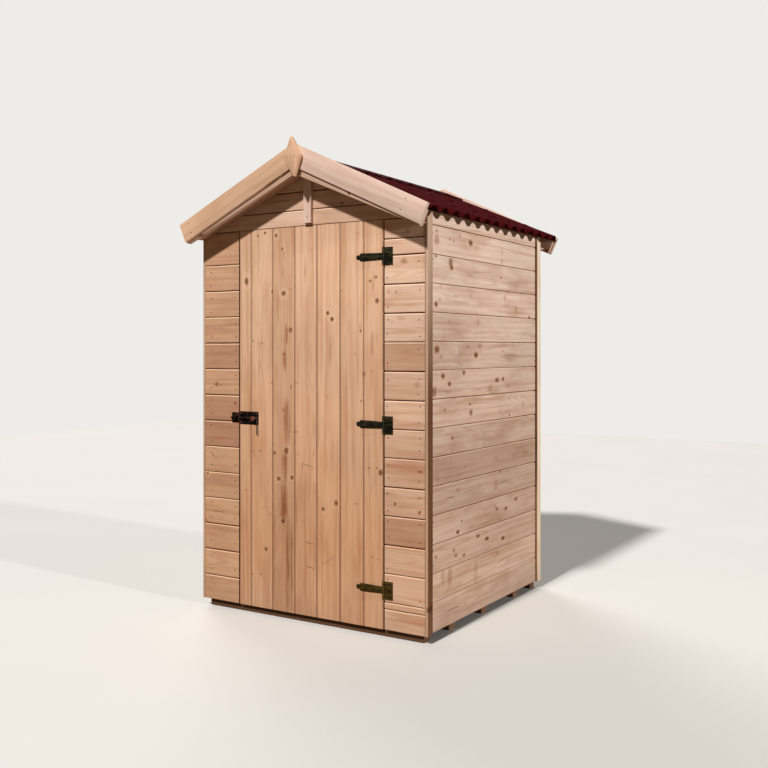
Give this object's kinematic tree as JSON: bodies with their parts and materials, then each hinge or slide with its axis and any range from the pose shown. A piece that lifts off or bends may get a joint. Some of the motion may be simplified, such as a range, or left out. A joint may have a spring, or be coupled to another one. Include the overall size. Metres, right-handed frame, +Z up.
{
  "type": "small wooden outhouse",
  "caption": "Small gable-roofed wooden outhouse with horizontal boarding, a boarded door on strap hinges, a sliding bolt and a corrugated roof with a ridge cap.",
  "frame": {"origin": "on the ground at the centre of the footprint, under the middle floor bearer", "axes": "+Z up; the front wall with the door faces -Y; +X is to the right when facing the front wall"},
  "size_m": [1.3318, 1.368, 2.09],
  "materials": {
    "front_boards": "bare planed pine, warm",
    "side_boards": "bare planed pine, paler",
    "door_boards": "bare tongued and grooved pine",
    "trim": "bare planed pine, slightly browned",
    "bargeboards": "bare planed pine, pale",
    "framing": "sawn pine",
    "bearers": "sawn pine, damp and dark",
    "roofing": "dark maroon corrugated bitumen sheet, matt",
    "black_iron": "black painted iron, worn to brown rust"
  },
  "bodies": {
    "shed": {"bearers": "bearers", "floor_boards": "framing", "corner_posts": "framing", "door_posts": "framing", "wall_studs": "framing", "bottom_rails": "framing", "wall_plates": "framing", "front_rafters": "framing", "rear_rafters": "framing", "door_head": "framing", "front_wall_left": "front_boards", "front_wall_right": "front_boards", "front_gable": "front_boards", "left_wall": "side_boards", "right_wall": "side_boards", "rear_wall": "side_boards", "front_left_trim": "trim", "front_right_trim": "trim", "rear_left_trim": "trim", "rear_right_trim": "trim", "left_purlins": "framing", "right_purlins": "framing", "left_roof_sheet": "roofing", "right_roof_sheet": "roofing", "ridge_cap": "roofing", "front_left_bargeboard": "bargeboards", "front_right_bargeboard": "bargeboards", "rear_left_bargeboard": "bargeboards", "rear_right_bargeboard": "bargeboards", "front_left_verge_board": "bargeboards", "front_right_verge_board": "bargeboards", "rear_left_verge_board": "bargeboards", "rear_right_verge_board": "bargeboards", "gable_finial": "bargeboards", "gable_batten": "bargeboards", "hinge_plates": "black_iron", "bolt_keeper": "black_iron"},
    "door": {"door_boards": "door_boards", "door_ledges": "framing", "hinge_straps": "black_iron", "bolt_plate": "black_iron"},
    "bolt": {"door_bolt": "black_iron"}
  },
  "joints": [
    {"name": "door_hinge", "type": "hinge", "parent": "shed", "child": "door", "pos_m": [0.3935, -0.581, 0.9], "axis": [0, 0, 1], "range_deg": [0, 120]},
    {"name": "bolt_slide", "type": "slide", "parent": "door", "child": "bolt", "axis": [-1, 0, 0], "range_m": [0, 0.024]}
  ]
}
